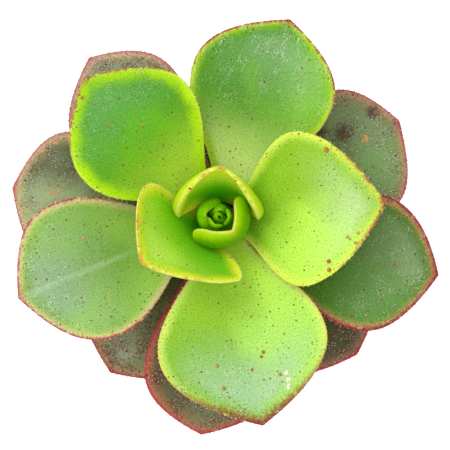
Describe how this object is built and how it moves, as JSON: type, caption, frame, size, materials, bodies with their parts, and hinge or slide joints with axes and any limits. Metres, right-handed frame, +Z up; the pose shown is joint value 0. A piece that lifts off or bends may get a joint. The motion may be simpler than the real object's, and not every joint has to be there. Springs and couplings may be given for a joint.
{
  "type": "potted succulent",
  "caption": "Open rosette of broad fleshy cupped leaves on a short woody stem, planted in soil in a tapered clay pot with a rim collar and a drain hole.",
  "frame": {"origin": "on the ground under the middle of the pot, which is also the middle of the plant's spread", "axes": "+Z up along the pot; +X to the picture's right and +Y to the picture's top, the picture being taken from straight above"},
  "size_m": [0.1497, 0.1438, 0.1467],
  "materials": {
    "pot": "unglazed fired clay, matte and slightly gritty",
    "soil": "dark gritty potting soil",
    "stem": "young woody stem with leaf scars",
    "old_leaf": "fleshy leaf, grey-green to purple-brown, matte bloom",
    "full_leaf": "fleshy leaf, green, soft satin skin",
    "young_leaf": "fleshy young leaf, bright yellow-green, satin skin"
  },
  "bodies": {
    "root": {"pot": "pot", "soil": "soil", "stem": "stem", "old_leaf_1": "old_leaf", "old_leaf_2": "old_leaf", "old_leaf_3": "old_leaf", "old_leaf_4": "old_leaf", "old_leaf_5": "old_leaf", "old_leaf_6": "old_leaf", "old_leaf_7": "old_leaf", "full_leaf_1": "full_leaf", "full_leaf_2": "full_leaf", "full_leaf_3": "full_leaf", "full_leaf_4": "full_leaf", "full_leaf_5": "full_leaf", "full_leaf_6": "full_leaf", "young_leaf_1": "young_leaf", "young_leaf_2": "young_leaf", "bud_leaf_1": "young_leaf", "bud_leaf_2": "young_leaf", "bud_leaf_3": "young_leaf", "bud_leaf_4": "young_leaf"}
  },
  "joints": []
}
